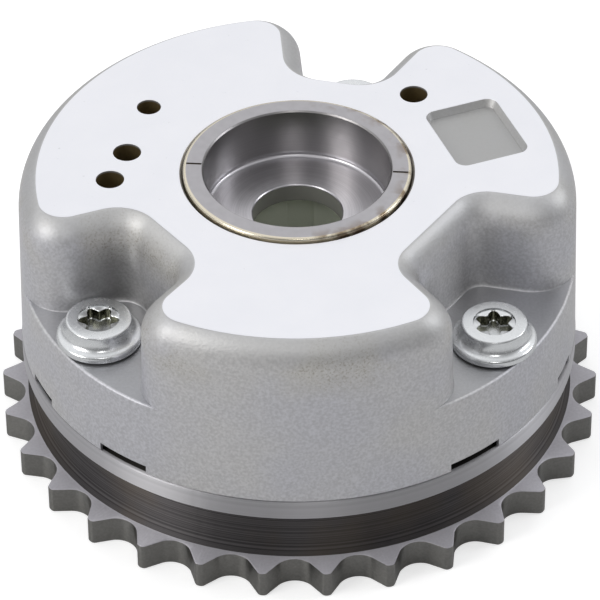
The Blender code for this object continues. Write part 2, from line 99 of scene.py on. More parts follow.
camera = added("camera", bpy.data.cameras.new("camera"))
camera.data.sensor_width = SENSOR_MM
camera.data.lens = FOCAL_PX / PICTURE_PX * SENSOR_MM
camera.data.clip_start = 0.01
place(camera, camera_axes(PITCH, YAW, ROLL), np.array(CAMERA_AT) * MM)
bpy.context.scene.camera = camera
print("camera lens", round(camera.data.lens, 1), "mm")

# %% [markdown]
# ## Plan points as complex numbers
#
# Nearly every piece here is turned or has an upright outline. Both are easy to write with a plan point as one
# complex number, x + iy: a turn about the axis is then a multiplication, and an outline is one array. A
# surface is a stack of such rings, and its faces join each point to its neighbours in the two rings.

# %% Plan points


def spin(degrees):
    """The unit point at an angle from +X: cos + i sin."""
    return np.exp(1j * np.radians(degrees))


def arc(centre, radius, start, end, count):
    """count points on an arc: centre + radius * spin(angle), both ends included."""
    return centre + radius * spin(np.linspace(start, end, count))


def circle(radius, count, at=0.0):
    """count points round a circle: at + radius * spin(angle), the last one short of the first."""
    return at + radius * spin(np.arange(count) * 360.0 / count)


print("four points round a circle:", np.round(circle(1.0, 4), 3))

# %% Grids, faces and pieces


def rings(plans, heights):
    """Grid of points in metres from plan rings (one row each) and each ring's height in millimetres."""
    plans = np.asarray(plans, complex)
    heights = np.broadcast_to(np.asarray(heights, float).reshape(-1, 1), plans.shape)
    return np.stack((plans.real, plans.imag, heights), -1) * MM


def quads(rows, columns, first=0, ring=False):
    """Faces of a grid whose columns close on themselves, and whose last row meets the first in a ring."""
    index = first + np.arange(rows * columns).reshape(rows, columns)
    beside = np.roll(index, -1, 1)
    above, across = np.roll(index, -1, 0), np.roll(beside, -1, 0)
    faces = np.stack((index, beside, across, above), -1)
    return (faces if ring else faces[:-1]).reshape(-1, 4).tolist()


def piece(name, points, faces):
    """A mesh object at the origin, with doubled points merged and its faces turned outwards."""
    mesh = bpy.data.meshes.new(name)
    mesh.from_pydata(np.asarray(points).reshape(-1, 3).tolist(), [], faces)
    shape = bmesh.new()
    shape.from_mesh(mesh)
    bmesh.ops.remove_doubles(shape, verts=shape.verts, dist=1e-6)
    bmesh.ops.dissolve_degenerate(shape, edges=shape.edges, dist=1e-7)
    bmesh.ops.recalc_face_normals(shape, faces=shape.faces)
    shape.to_mesh(mesh)
    shape.free()
    return added(name, mesh)


def stack(name, plans, heights, ring=False):
    """A surface through a stack of rings, with a flat face on both ends unless it is a ring itself."""
    grid = rings(plans, heights)
    rows, columns = grid.shape[:2]
    faces = quads(rows, columns, ring=ring)
    if not ring:
        faces += [list(range(columns)), list(range((rows - 1) * columns, rows * columns))]
    return piece(name, grid, faces)


# %% [markdown]
# ## Turned shapes
#
# A turned piece is its section carried round the axis. Real edges are never quite sharp: the tool leaves a
# small radius, and that radius catches the light. So a section is written as corners with an ease, and each
# corner becomes a short curve that touches both of its sides.

# %% Sections and turning


def eased(corners, steps=5, closed=False):
    """A section with rounded corners, as radius + i height.

    A corner c is (radius, height, ease). The curve leaves the sides at p0 and p1, both `ease` away from
    the corner, and follows (1-t)^2 p0 + 2t(1-t) c + t^2 p1.
    """
    points = [complex(r, z) for r, z, _ in corners]
    t = np.linspace(0.0, 1.0, steps + 1)
    section = []
    for i, (here, (_, _, ease)) in enumerate(zip(points, corners)):
        if ease == 0 or (not closed and i in (0, len(points) - 1)):
            section.append(here)
            continue
        before, after = points[i - 1], points[(i + 1) % len(points)]
        p0 = here + ease * (before - here) / abs(before - here)
        p1 = here + ease * (after - here) / abs(after - here)
        section.extend((1 - t) ** 2 * p0 + 2 * t * (1 - t) * here + t ** 2 * p1)
    return np.array(section)


def sharp(*corners):
    """A section with sharp corners, each given as (radius, height)."""
    return np.array([complex(*corner) for corner in corners])


def turned(name, section, steps=192, at=0.0, ring=False):
    """The section carried round an upright axis at a plan point: at + radius * spin(angle)."""
    return stack(name, at + section.real[:, None] * circle(1.0, steps), section.imag, ring)


def prism(name, outline, z0, z1):
    """A plan outline carried upwards from z0 to z1."""
    return stack(name, [outline, outline], [z0, z1])


print("an eased corner has", len(eased([(0, 0, 0), (1, 0, 0.2), (1, 1, 0)])) - 2, "points")


# %% [markdown]
# ## Cutting
#
# Holes and slots cross many rings of a surface, so an exact Boolean cuts them, and the result is kept as a
# plain mesh.

# %% Cutters


def as_built(thing):
    """Replaces an object's mesh by what its modifiers make of it."""
    depsgraph = bpy.context.evaluated_depsgraph_get()
    mesh = bpy.data.meshes.new_from_object(thing.evaluated_get(depsgraph))
    thing.modifiers.clear()
    thing.data = mesh
    return thing


def together(things):
    """Joins separate shapes in one object, as bodies of their own."""
    whole = bmesh.new()
    for thing in things:
        whole.from_mesh(thing.data)
        bpy.data.objects.remove(thing)
    mesh = bpy.data.meshes.new("tools")
    whole.to_mesh(mesh)
    whole.free()
    return added("tools", mesh)


def combine(thing, operation, *tools):
    """Cuts tools out of a piece (DIFFERENCE) or joins them to it (UNION), and removes the tools."""
    tool = together(tools)
    step = thing.modifiers.new(operation, "BOOLEAN")
    step.operation, step.solver, step.object = operation, "EXACT", tool
    as_built(thing)
    bpy.data.objects.remove(tool)


# %% [markdown]
# ## Shading and dressing
#
# Faces that meet at a small angle are shaded as one curve. The normals are weighted by the size of the faces,
# so that large faces stay flat in the light and only the eased edges bend it. A finished piece then rides on
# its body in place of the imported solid.

# %% Normals and materials


def soften(thing, sharp_deg=34.0):
    """Smooth shading between faces that meet flatter than sharp_deg, weighted by their size."""
    thing.data.shade_smooth()
    thing.data.set_sharp_from_angle(angle=math.radians(sharp_deg))
    weigh = thing.modifiers.new("weigh", "WEIGHTED_NORMAL")
    weigh.keep_sharp = True
    as_built(thing)
    print(thing.name, len(thing.data.polygons), "faces")
    return thing


def dress(thing, finish, body, slot, *nodes):
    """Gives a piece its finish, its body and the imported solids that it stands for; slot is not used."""
    thing.data.materials.clear()
    thing.data.materials.append(finish)
    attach(thing, body)
    if nodes:
        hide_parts(*nodes)
    return thing


# %% [markdown]
# ## Shader arithmetic
#
# A finish is a graph of nodes. Here a node's output is wrapped in a Signal, and adding or multiplying
# Signals adds the Math nodes, so a finish reads like a formula.

# %% Signals


class Signal:
    """The output of a node. Each operator adds a Math node to the same graph."""

    def __init__(self, graph, socket):
        self.graph = graph
        self.socket = socket

    def math(self, operation, *values):
        return self.graph.node("ShaderNodeMath", {"operation": operation}, dict(enumerate(values)))

    def __add__(self, other):
        return self.math("ADD", self, other)

    def __sub__(self, other):
        return self.math("SUBTRACT", self, other)

    def __rsub__(self, other):
        return self.math("SUBTRACT", other, self)

    def __mul__(self, other):
        return self.math("MULTIPLY", self, other)

    def __pow__(self, other):
        return self.math("POWER", self, other)

    __radd__ = __add__
    __rmul__ = __mul__

    def rise(self, low, high):
        """0 below low, 1 above high, and a smooth step between them; it falls where high is the lower."""
        settings = {"interpolation_type": "SMOOTHSTEP"}
        if low < high:
            return self.graph.node("ShaderNodeMapRange", settings, {0: self, 1: low, 2: high})
        return 1 - self.graph.node("ShaderNodeMapRange", settings, {0: self, 1: high, 2: low})


# %% [markdown]
# ## Graphs and finishes
#
# Materials and the world are node trees, so one class adds the nodes of both. A Finish also knows its shader,
# and reads the place on the object in millimetres: x, y, z and the distance r from the camshaft's axis. Masks
# made from these say where a finish changes, so it needs no image and no unwrapping.

# %% Graphs and finishes


class Graph:
    """A node tree under construction, of a material or of the world."""

    def __init__(self, tree):
        self.nodes, self.links = tree.nodes, tree.links

    def node(self, kind, settings=None, inputs=None, out=0):
        """Adds a node, makes its settings, then joins or sets its inputs; the result is its output."""
        made = self.nodes.new(kind)
        for key, value in (settings or {}).items():
            setattr(made, key, value)
        for key, value in (inputs or {}).items():
            self.join(made.inputs[key], value)
        return Signal(self, made.outputs[out])

    def join(self, socket, value):
        if isinstance(value, Signal):
            self.links.new(value.socket, socket)
        else:
            socket.default_value = value

    def mix(self, share, a, b):
        """Colour a where share is 0 and colour b where it is 1."""
        return self.node("ShaderNodeMix", {"data_type": "RGBA"}, {0: share, 6: a, 7: b}, out=2)


class Finish(Graph):
    """A material under construction. Places are read in millimetres on the object."""

    def __init__(self, name, metallic=1.0, roughness=0.4, **constants):
        self.material = bpy.data.materials.new(name)
        self.material.use_nodes = True
        super().__init__(self.material.node_tree)
        self.shader = self.nodes["Principled BSDF"]
        for socket, value in {"Metallic": metallic, "Roughness": roughness, **constants}.items():
            self.shader.inputs[socket].default_value = value
        self.place = self.node("ShaderNodeVectorMath", {"operation": "SCALE"},
                               {0: self.node("ShaderNodeTexCoord", out="Object"), "Scale": 1 / MM})
        self.x, self.y, self.z = (self.node("ShaderNodeSeparateXYZ", {}, {0: self.place}, out=axis)
                                  for axis in "XYZ")
        self.r = self.away(0j)

    def feed(self, **values):
        """Joins or sets the shader's sockets, with _ for a space in their names."""
        for name, value in values.items():
            self.join(self.shader.inputs[name.replace("_", " ")], value)

    def away(self, at):
        """Distance in plan from an upright axis, given as a plan point x + iy."""
        x, y = self.x - at.real, self.y - at.imag
        return (x * x + y * y) ** 0.5

    def section(self):
        """The place as (r, z), where noise gives rings: long round the axis and short across them."""
        return self.node("ShaderNodeCombineXYZ", {}, {0: self.r, 1: self.z})

    def noise(self, per_mm, detail=2.0, at=None):
        """Smooth noise between 0 and 1, about 0.5 on average, with so many lumps to a millimetre."""
        return self.node("ShaderNodeTexNoise", {},
                         {"Vector": at or self.place, "Scale": per_mm, "Detail": detail})

    def relief(self, height, depth_mm, strength):
        """Bump from a height between 0 and 1 that stands for so many millimetres."""
        return self.node("ShaderNodeBump", {},
                         {"Height": height, "Distance": depth_mm * MM, "Strength": strength})

    def done(self):
        print("finish", self.material.name, "with", len(self.nodes), "nodes")
        return self.material


def screen(red, green, blue):
    """A colour as it shows on a screen, 0 to 255, turned into the linear numbers that a shader takes."""
    share = np.array((red, green, blue)) / 255.0
    linear = np.where(share <= 0.04045, share / 12.92, ((share + 0.055) / 1.055) ** 2.4)
    return (*linear.tolist(), 1.0)


print("half grey on a screen is", round(screen(128, 128, 128)[0], 3), "in linear light")


# %% [markdown]
# ## Finish: die-cast aluminium with a machined face
#
# The housing comes out of its die with a fine, dull grain and brownish specks on the shoulders where release
# agent has burnt on. The inner corner of the left bay is painted darker, as painted shade. Then its front
# face and the edge of its bore are machined almost white. One finish does it all: height and radius say how a
# place was made.

# %% Cast aluminium
FACE_Z, POCKET_Z, SEAT_Z, RIM_NOTCH_Z = 46.0, 44.8, 30.0, 17.8
WALL_R, HOUSING_NOSE_R, NOSE_BEVEL = 44.0, 18.02, 0.4
POCKET_AT, POCKET_REACH = 28.4 + 9.6j, 9.8
# Heights of the burnt specks, and of the painted shade on the upper shoulders
BURNT_Z, SHOULDER_SHADE_Z = (35.0, 42.0), (42.0, 45.0)
# Where the left bay's inner corner, behind its bolt, is painted darker: painted shade
BAY_SHADE_X, BAY_SHADE_R, BAY_SHADE_Z = (-23.0, -29.0), (40.0, 28.0), (44.0, 37.0)
VENT_HOLES = [(-23.5 + 17.0j, 1.93), (-26.7 + 5.2j, 2.23), (-29.2 - 1.7j, 2.23), (18.75 + 19.7j, 2.23)]


def cast_finish():
    finish = Finish("cast_aluminium", metallic=0.85, roughness=0.5)
    x, z, r, mix, noise = finish.x, finish.z, finish.r, finish.mix, finish.noise
    at_bore = r.rise(HOUSING_NOSE_R + NOSE_BEVEL + 0.1, HOUSING_NOSE_R + NOSE_BEVEL + 0.05)
    bevel = z.rise(FACE_Z - 1.0, FACE_Z - 0.8) * at_bore
    machined = z.rise(FACE_Z - 0.06, FACE_Z - 0.02) * (1 - bevel) + bevel
    in_pocket = finish.away(POCKET_AT).rise(POCKET_REACH, POCKET_REACH - 0.2)
    pocket = z.rise(POCKET_Z + 0.1, POCKET_Z + 0.05) * in_pocket
    cloud = noise(0.05).rise(0.35, 0.65)
    grain = noise(2.2, 5.0)
    burnt = noise(0.07).rise(0.42, 0.60) * z.rise(*BURNT_Z)
    specks = noise(3.2, 3.0).rise(0.52, 0.66)
    seat = z.rise(SEAT_Z - 0.1, SEAT_Z - 0.04) * z.rise(SEAT_Z + 0.1, SEAT_Z + 0.04)
    seat = seat * r.rise(WALL_R - 0.3, WALL_R - 0.5)
    bay_shade = z.rise(SEAT_Z + 0.1, SEAT_Z + 1.0) * z.rise(*BAY_SHADE_Z)
    bay_shade = bay_shade * r.rise(*BAY_SHADE_R) * x.rise(*BAY_SHADE_X)
    # Painted shade: the insides of the rim slots are painted near black
    rim_slot_shade = z.rise(RIM_NOTCH_Z + 0.1, RIM_NOTCH_Z + 0.05) * r.rise(WALL_R - 0.1, WALL_R - 0.3)

    skin = mix(cloud, screen(213, 212, 212), screen(209, 209, 214))
    skin = mix(grain.rise(0.72, 0.30) * 0.25, skin, screen(104, 103, 103))
    skin = mix(burnt * 0.3, skin, screen(206, 202, 188))
    skin = mix(burnt * specks * 0.4, skin, screen(128, 116, 90))
    skin = mix(seat * 0.7, skin, screen(156, 157, 160))
    # Painted shade: the upper shoulders are painted darker to tone down their light
    skin = mix(z.rise(*SHOULDER_SHADE_Z) * 0.7, skin, screen(188, 188, 188))
    # Painted shade: the left bay's inner corner is darkened
    skin = mix(bay_shade * 0.7, skin, screen(86, 86, 82))
    skin = mix(pocket * 0.6, skin, screen(164, 164, 163))
    skin = mix(rim_slot_shade, skin, screen(40, 38, 37))

    ticks = noise(0.9, 5.0).rise(0.72, 0.78)
    face = mix(noise(0.12, 4.0), screen(232, 233, 238), screen(240, 240, 244))
    face = mix(ticks * 0.25, face, screen(150, 150, 155))

    # Painted shade with a brown stain tone on the walls of the vent holes
    vent_shade_and_stain = sum(finish.away(at).rise(radius + 0.25, radius + 0.1) for at, radius in VENT_HOLES)
    vent_shade_and_stain = vent_shade_and_stain * z.rise(FACE_Z - 0.15, FACE_Z - 0.5)
    colour = mix(vent_shade_and_stain, mix(machined, skin, face), screen(132, 116, 82))
    finish.feed(Base_Color=colour,
                Roughness=0.52 + 0.14 * (grain - 0.5) - 0.12 * machined - 0.14 * seat,
                Normal=finish.relief(grain * (1 - machined), 0.05, 0.8))
    return finish.done()


cast = cast_finish()

# %% [markdown]
# ## Finish: turned and sintered steel
#
# The sprocket is pressed from powder and then turned. The lathe leaves fine rings on the neck and the flange,
# while the teeth keep the dull pressed skin. The neck under the flange is painted much darker than the
# flange, as painted shade. The rings are noise that is read at (radius, height). Turned steel mirrors a lamp
# as a streak across its rings, and the shader's Anisotropic value does that, turned by a quarter so that the
# streak runs up the neck.

# %% Sprocket steel
TOOTH_H = 4.65
FLANGE_Z, PLATE_Z, FLANGE_R = 12.9, 16.2, 44.4


def sprocket_finish():
    finish = Finish("sintered_steel", **{"Anisotropic": 0.95, "Anisotropic Rotation": 0.25})
    z, r, mix, noise = finish.z, finish.r, finish.mix, finish.noise
    rings_fine = noise(6.0, 4.0, at=finish.section())
    rings_wide = noise(1.6, at=finish.section())
    grain = noise(2.4, 3.0)
    teeth = z.rise(TOOTH_H + 0.06, TOOTH_H + 0.02)
    plane = z.rise(TOOTH_H - 0.12, TOOTH_H - 0.04) * teeth
    flange = z.rise(FLANGE_Z - 0.1, FLANGE_Z + 0.1)
    neck = (1 - teeth) * (1 - flange)
    stain = noise(0.05, 3.0).rise(0.45, 0.62)

    # Painted shade: the tooth flanks are painted darker than the tooth tops of the same pressed skin
    shaded_flank = mix(grain, screen(118, 117, 114), screen(146, 145, 142))
    pressed = mix(plane, shaded_flank, mix(grain, screen(176, 174, 180), screen(198, 196, 202)))
    # Painted shade: the neck is painted much darker than the flange's turned steel, as if in the flange's
    # shadow
    shaded_neck = mix(rings_fine.rise(0.3, 0.7), screen(74, 72, 73), screen(112, 109, 110))
    # Lighter brown patches on the neck: a stain tone that also stands in for a painted warm reflection
    shaded_neck = mix(stain * 0.3, shaded_neck, screen(112, 100, 84))
    bright = mix(rings_wide, screen(168, 167, 170), screen(202, 201, 204))
    colour = mix(flange, mix(neck, pressed, shaded_neck), bright)

    joint = z.rise(PLATE_Z - 0.03, PLATE_Z - 0.01) * r.rise(FLANGE_R - 0.5, FLANGE_R - 0.7)
    finish.feed(Base_Color=mix(joint, colour, screen(52, 50, 48)),
                Metallic=1.0 - 0.5 * plane,
                Roughness=0.30 + 0.30 * neck + 0.20 * flange + 0.14 * plane + 0.10 * (rings_fine - 0.5),
                Normal=finish.relief(rings_fine * neck + grain * teeth, 0.03, 0.7))
    return finish.done()


sintered = sprocket_finish()

# %% [markdown]
# ## Finish: turned rotor steel
#
# The rotor's nose is turned and lightly stained at its rim. The recess has fine feed rings, and the socket
# behind the centre hole has a greenish film of oil. The centre hole and the socket are painted pale and not
# as
# metal: painted light that stands in for the light reaching into them.

# %% Rotor steel
CUP_R, CUP_Z, WEB_Z = 14.7, 37.75, 34.4
NOSE_R, NOSE_Z, NOSE_EASE = 17.9, 46.6, 0.5


def rotor_finish():
    finish = Finish("turned_steel", roughness=0.34)
    x, z, r, mix, noise = finish.x, finish.z, finish.r, finish.mix, finish.noise
    rings_fine = noise(7.0, 3.0, at=finish.section())
    mottle = noise(0.8, 4.0)
    nose = r.rise(CUP_R + 0.1, CUP_R + 0.4)
    rim = r.rise(NOSE_R - NOSE_EASE - 0.05, NOSE_R - NOSE_EASE + 0.1)
    scribed = z.rise(NOSE_Z - 0.02, NOSE_Z - 0.06) * nose * (1 - rim)
    scribed = scribed * z.rise(NOSE_Z - 0.8, NOSE_Z - 0.6)
    stain = noise(0.35, 5.0).rise(0.46, 0.62) * x.rise(-3.0, 6.0)
    stain = stain * r.rise(CUP_R + 0.7, NOSE_R - 0.5)
    bore = z.rise(CUP_Z - 0.25, CUP_Z - 0.4)
    socket_oil_and_light = z.rise(WEB_Z + 0.1, WEB_Z - 0.1)

    ring = mix(mottle, screen(164, 162, 165), screen(186, 184, 187))
    # Painted highlight: the nose's eased rim is painted pale and yellowish all round
    ring = mix(rim, ring, screen(220, 212, 192))
    ring = mix(stain * (0.45 + 0.4 * rim), ring, screen(120, 100, 78))
    ring = mix(scribed, ring, screen(104, 98, 88))
    # Painted shade: the cup's wall is painted darker than its floor
    cup = mix(z.rise(CUP_Z + 0.3, CUP_Z + 1.2), screen(204, 202, 206), screen(148, 146, 146))
    cup = mix(rings_fine.rise(0.3, 0.7) * 0.2, cup, screen(120, 118, 122))
    # Painted light: below the cup the bore is pale and not metal; the socket's near-white greenish tone is
    # its oil film and painted light
    cup = mix(bore, cup, mix(socket_oil_and_light, screen(132, 132, 126), screen(236, 240, 226)))

    finish.feed(Base_Color=mix(nose, cup, ring),
                Metallic=1.0 - bore,
                Roughness=0.32 + 0.16 * (mottle - 0.5) + 0.08 * nose * (1 - rim) - 0.08 * rim,
                Normal=finish.relief(rings_fine, 0.012, 0.6))
    return finish.done()


turned_steel = rotor_finish()

# %% [markdown]
# ## Finish: plated bolts and the inner pieces
#
# The bolts are zinc plated, pale and bright; the walls of their recesses are painted darker as painted shade.
# The pin, its bush and cap are ground, the springs are drawn wire and strip, and the seals are a dull
# plastic.
# One function with two tones and a grain makes these.

# %% Small finishes
BOLT_AT = {"back": 36.2 * spin(75.2), "left": 37.4 * spin(214.4), "right": 37.9 * spin(322.6)}
HEAD_TOP, LOBE_FLOOR, COUNTERSINK_R = 34.1, 31.8, 3.3


def small_finish(name, low, high, metallic, roughness, per_mm, depth_mm):
    """Two tones of one colour in a fine noise, with the same noise as roughness and relief."""
    finish = Finish(name, metallic=metallic, roughness=roughness)
    grain = finish.noise(per_mm, 3.0)
    finish.feed(Base_Color=finish.mix(grain, screen(*low), screen(*high)),
                Roughness=roughness + 0.12 * (grain - 0.5),
                Normal=finish.relief(grain, depth_mm, 0.6))
    return finish.done()


def zinc_finish():
    """Plating that is pale outside; the walls of the recess are painted darker, a little olive, as painted
    shade.
    """
    finish = Finish("zinc_plate", roughness=0.3)
    grain = finish.noise(1.4)
    # Painted shade on the walls of each bolt's recess
    recess_wall_shade = sum(finish.away(at).rise(COUNTERSINK_R - 0.1, COUNTERSINK_R - 0.15) for at in BOLT_AT.values())
    recess_wall_shade = recess_wall_shade * finish.z.rise(HEAD_TOP - 0.44, HEAD_TOP - 0.5)
    recess_wall_shade = recess_wall_shade * finish.z.rise(LOBE_FLOOR + 0.05, LOBE_FLOOR + 0.2)
    pale = finish.mix(grain, screen(212, 214, 216), screen(228, 230, 231))
    finish.feed(Base_Color=finish.mix(recess_wall_shade, pale, screen(92, 92, 78)),
                Roughness=0.26 + 0.10 * (grain - 0.5),
                Normal=finish.relief(grain, 0.012, 0.5))
    return finish.done()


zinc = zinc_finish()
ground = small_finish("hardened_steel", (140, 140, 144), (170, 170, 174), 1.0, 0.25, 3.0, 0.01)
drawn = small_finish("spring_steel", (120, 120, 124), (150, 150, 155), 1.0, 0.30, 2.0, 0.01)
seal = small_finish("seal_plastic", (52, 48, 42), (72, 66, 58), 0.0, 0.55, 2.0, 0.02)

# %% [markdown]
# ## The housing's outline
#
# From the front the housing is a round drum with three bays bitten out of it, one for each bolt. A bay has
# the same plan at every height, only narrower or wider, so one function gives all its rings at once: the
# wall's radius and the narrowing come in as columns.

# %% Bays and lobes in plan
DRAFT = 0.71 / 30.0
MOUTH_R = 4.0
# Each bay: direction, distance of its inner end, half width there, flare of its sides, inner corners
BAYS = {
    "back": (75.8, 23.9, 7.9, 0.33, 7.0),
    "left": (217.2, 24.8, 9.65, 0.30, 7.0),
    "right": (325.2, 24.7, 11.2, 0.40, 6.0),
}


def bay_rings(bay, wall_r, narrower):
    """A bay's rings, from the mouth's right side round its inner end to the left side.

    In the bay's own directions a side starts at depth + i half and leans outwards by the flare. The
    mouth's arc touches that side and the wall's circle. The inner corner's arc touches the side and the
    inner end. A narrower ring is the face's outline moved into the bay, so the mouth's radius grows and
    the corner's shrinks by that distance. One half is worked out, and the other is its conjugate.
    """
    direction, depth, half, flare, corner_r = BAYS[bay]
    depth, half = depth + narrower, half - narrower
    mouth_r, corner_r = MOUTH_R + narrower, corner_r - narrower
    side = (1 + 1j * flare) / abs(1 + 1j * flare)
    past = depth + 1j * half + 1j * side * mouth_r
    reach = wall_r - mouth_r
    foot = (past * side.conjugate()).real
    mouth = past + side * (np.sqrt(foot ** 2 - abs(past) ** 2 + reach ** 2) - foot)
    corner = depth + corner_r + 1j * (half + flare * corner_r - corner_r / side.real)
    lean = np.degrees(np.angle(side))

    def bend(centre, radius, start, end, count):
        """An arc for every ring at once; its angles run in step along the columns."""
        share = np.linspace(0.0, 1.0, count)
        return centre + radius * spin(start + (end - start) * share)

    at_mouth = bend(mouth, mouth_r, np.degrees(np.angle(mouth)), lean - 90.0, 16)
    at_corner = bend(corner, corner_r, lean + 90.0, 180.0, 18)
    share = np.linspace(0.0, 1.0, 10)[1:-1]
    along_side = at_mouth[:, -1:] * (1 - share) + at_corner[:, :1] * share
    end = at_corner[:, -1:]
    along_end = end.real + 1j * end.imag * np.array((0.75, 0.5, 0.25))
    half_bay = np.hstack((at_mouth, along_side, at_corner, along_end))
    return np.hstack((half_bay.conjugate(), end.real + 0j, half_bay[:, ::-1])) * spin(direction)


def housing_rings(wall_r, narrower, lobe_counts=(34, 20, 22)):
    """All rings of the outline, anticlockwise, and the columns at which each bay starts and ends."""
    bays = [bay_rings(bay, wall_r, narrower) for bay in BAYS]
    parts, spans, column = [], [], 0
    for this, following, count in zip(bays, bays[1:] + bays[:1], lobe_counts):
        start = np.degrees(np.angle(this[:, -1:]))
        sweep = (np.degrees(np.angle(following[:, :1])) - start) % 360.0
        lobe = wall_r * spin(start + sweep * np.linspace(0.0, 1.0, count + 2)[1:-1])
        parts += [this, lobe]
        spans.append((column, column + this.shape[1] - 1))
        column += this.shape[1] + count
    return np.hstack(parts), spans


# %% [markdown]
# ## The housing's casting
#
# Under the seats the casting is a drum, and above them it has the bayed outline. A Boolean and a bevel could
# do it, but a bevel breaks up where three curves meet, and rings stay smooth. The wall meets the seat in a
# fillet and the face in a large shoulder. Both are quarter ellipses: with an angle that runs from 0 to 90
# degrees, the height goes with its sine and the inset with one minus its cosine.

# %% Heights, fillets and the shoulder
FOOT_TOP, FOOT_INSET = 30.8, 0.3
SHOULDER_FOOT, SHOULDER_H = 41.0, 5.6
WALL_SHOULDER, BAY_SHOULDER = 5.17, 4.83
BAY_DRAFT, BAY_AT_SHOULDER = 0.0146, 2.65
RIM_Z, SKIRT_Z = PLATE_Z + 0.05, PLATE_Z + 0.3
RIM_EASE, SEAT_EASE = 0.3, 0.4


def tower_levels():
    """Heights of the bayed part, with the wall's radius and the bays' narrowing at each."""
    foot = np.radians(np.linspace(90.0, 0.0, 7))
    climb = np.radians(np.linspace(0.0, np.degrees(np.arcsin((FACE_Z - SHOULDER_FOOT) / SHOULDER_H)), 14))
    z = np.concatenate((FOOT_TOP - (FOOT_TOP - SEAT_Z) * np.sin(foot),
                        np.arange(FOOT_TOP + 2.0, SHOULDER_FOOT - 2.0, 2.0),
                        SHOULDER_FOOT + SHOULDER_H * np.sin(climb)))
    bent_in = np.concatenate((np.zeros(len(z) - len(climb)), 1 - np.cos(climb)))
    at_foot = np.concatenate((1 - np.cos(foot), np.zeros(len(z) - len(foot))))
    wall_r = WALL_R + DRAFT * (SEAT_Z - z) - WALL_SHOULDER * bent_in
    straight = BAY_AT_SHOULDER + BAY_DRAFT * np.maximum(SHOULDER_FOOT - z, 0.0)
    return z, wall_r, straight + FOOT_INSET * at_foot - BAY_SHOULDER * bent_in


def drum_levels():
    """Heights of the drum, the inset of its rim and that of the seats' edge, which only the bays use."""
    turn = np.radians(np.linspace(0.0, 90.0, 5))
    low = RIM_Z + RIM_EASE * (1 - np.cos(turn))
    high = SEAT_Z - SEAT_EASE * (1 - np.sin(turn))
    z = np.concatenate((low, np.linspace(RIM_Z + 2.5, SEAT_Z - 1.5, 5), high))
    rim = np.concatenate((RIM_EASE * (1 - np.sin(turn)), np.zeros(len(z) - len(low))))
    seat = np.concatenate((np.zeros(len(z) - len(high)), SEAT_EASE * (1 - np.cos(turn))))
    return z, rim, seat


print("the bayed part has", len(tower_levels()[0]), "rings and the drum", len(drum_levels()[0]))

# %% [markdown]
# ## Joining drum and bays
#
# Both parts share their points along the lobes. Across a bay the drum's angles are spread evenly, and each
# seat is one flat face between the drum's edge and the bay's foot. The edge is eased there only, and the ease
# fades out towards the lobes.

# %% Build the casting
SEAT_EASE_FROM_DEG, SEAT_EASE_OVER_DEG = 1.5, 5.0


def casting():
    """The outside of the housing, closed below and above."""
    z_up, wall_r, narrower = tower_levels()
    tower, bays = housing_rings(wall_r[:, None], narrower[:, None])
    columns = tower.shape[1]

    angle = np.degrees(np.unwrap(np.angle(tower[0])))
    at_seat = np.zeros(columns)
    for start, end in bays:
        across = slice(start, end + 1)
        angle[across] = np.linspace(angle[start], angle[end], end - start + 1)
        inward = np.minimum(angle[across] - angle[start], angle[end] - angle[across])
        at_seat[across] = np.clip((inward - SEAT_EASE_FROM_DEG) / SEAT_EASE_OVER_DEG, 0.0, 1.0) ** 2
    z_down, rim, seat = drum_levels()
    radius = WALL_R + DRAFT * (SEAT_Z - z_down) - rim
    drum = (radius[:, None] - seat[:, None] * at_seat) * spin(angle)

    lower, upper = rings(drum, z_down), rings(tower, z_up)
    first_up = len(z_down) * columns
    last_down, last_up = first_up - columns, first_up + (len(z_up) - 1) * columns
    faces = quads(len(z_down), columns) + quads(len(z_up), columns, first=first_up)
    faces += [list(range(columns)), list(range(last_up, last_up + columns))]
    for start, end in bays:
        faces.append([*range(last_down + start, last_down + end + 1),
                      *range(first_up + end, first_up + start - 1, -1)])
    points = np.concatenate((lower.reshape(-1, 3), upper.reshape(-1, 3)))
    return piece("housing_casting", points, faces)


housing = casting()
print("the casting has", len(housing.data.polygons), "faces before it is cut")

# %% [markdown]
# ## What is cut out of the housing
#
# Inside, three oil chambers stand between three walls, with a seal slot in the tip of each. There are a bore
# for the rotor's nose, small holes through the front wall, a shallow pocket with sloping sides, and slots in
# the lower rim. Each is a tool for the Boolean. The chambers' plan is a set of sectors on a hub, and the same
# function draws the rotor's vanes.

# %% Plans of the chambers and the pocket
CHAMBERS = {"b": (-1.0, 52.0), "a": (101.0, 189.5), "c": (245.5, 293.0)}
CEILING_Z, CHAMBER_R, WALL_TIP_R = 40.0, 37.0, 19.5
SLOT_W, VANE_SLOT_R, WALL_SLOT_R = 3.0, 32.0, 22.9
POCKET_HALF, POCKET_TURN, POCKET_CORNER, POCKET_SLOPE = (6.1, 7.55), 20.7, 1.8, 0.7


def edge_arc(radius, start, end, slot_r):
    """An arc about the axis, with a square slot at its middle angle where slot_r gives the slot's floor."""
    if slot_r is None:
        return arc(0, radius, start, end, 36)
    middle, half = (start + end) / 2, np.degrees(np.arcsin(SLOT_W / 2 / radius))
    floor = (slot_r + 1j * np.array((-SLOT_W / 2, SLOT_W / 2))) * spin(middle)
    return np.concatenate((arc(0, radius, start, middle - half, 12), floor,
                           arc(0, radius, middle + half, end, 12)))


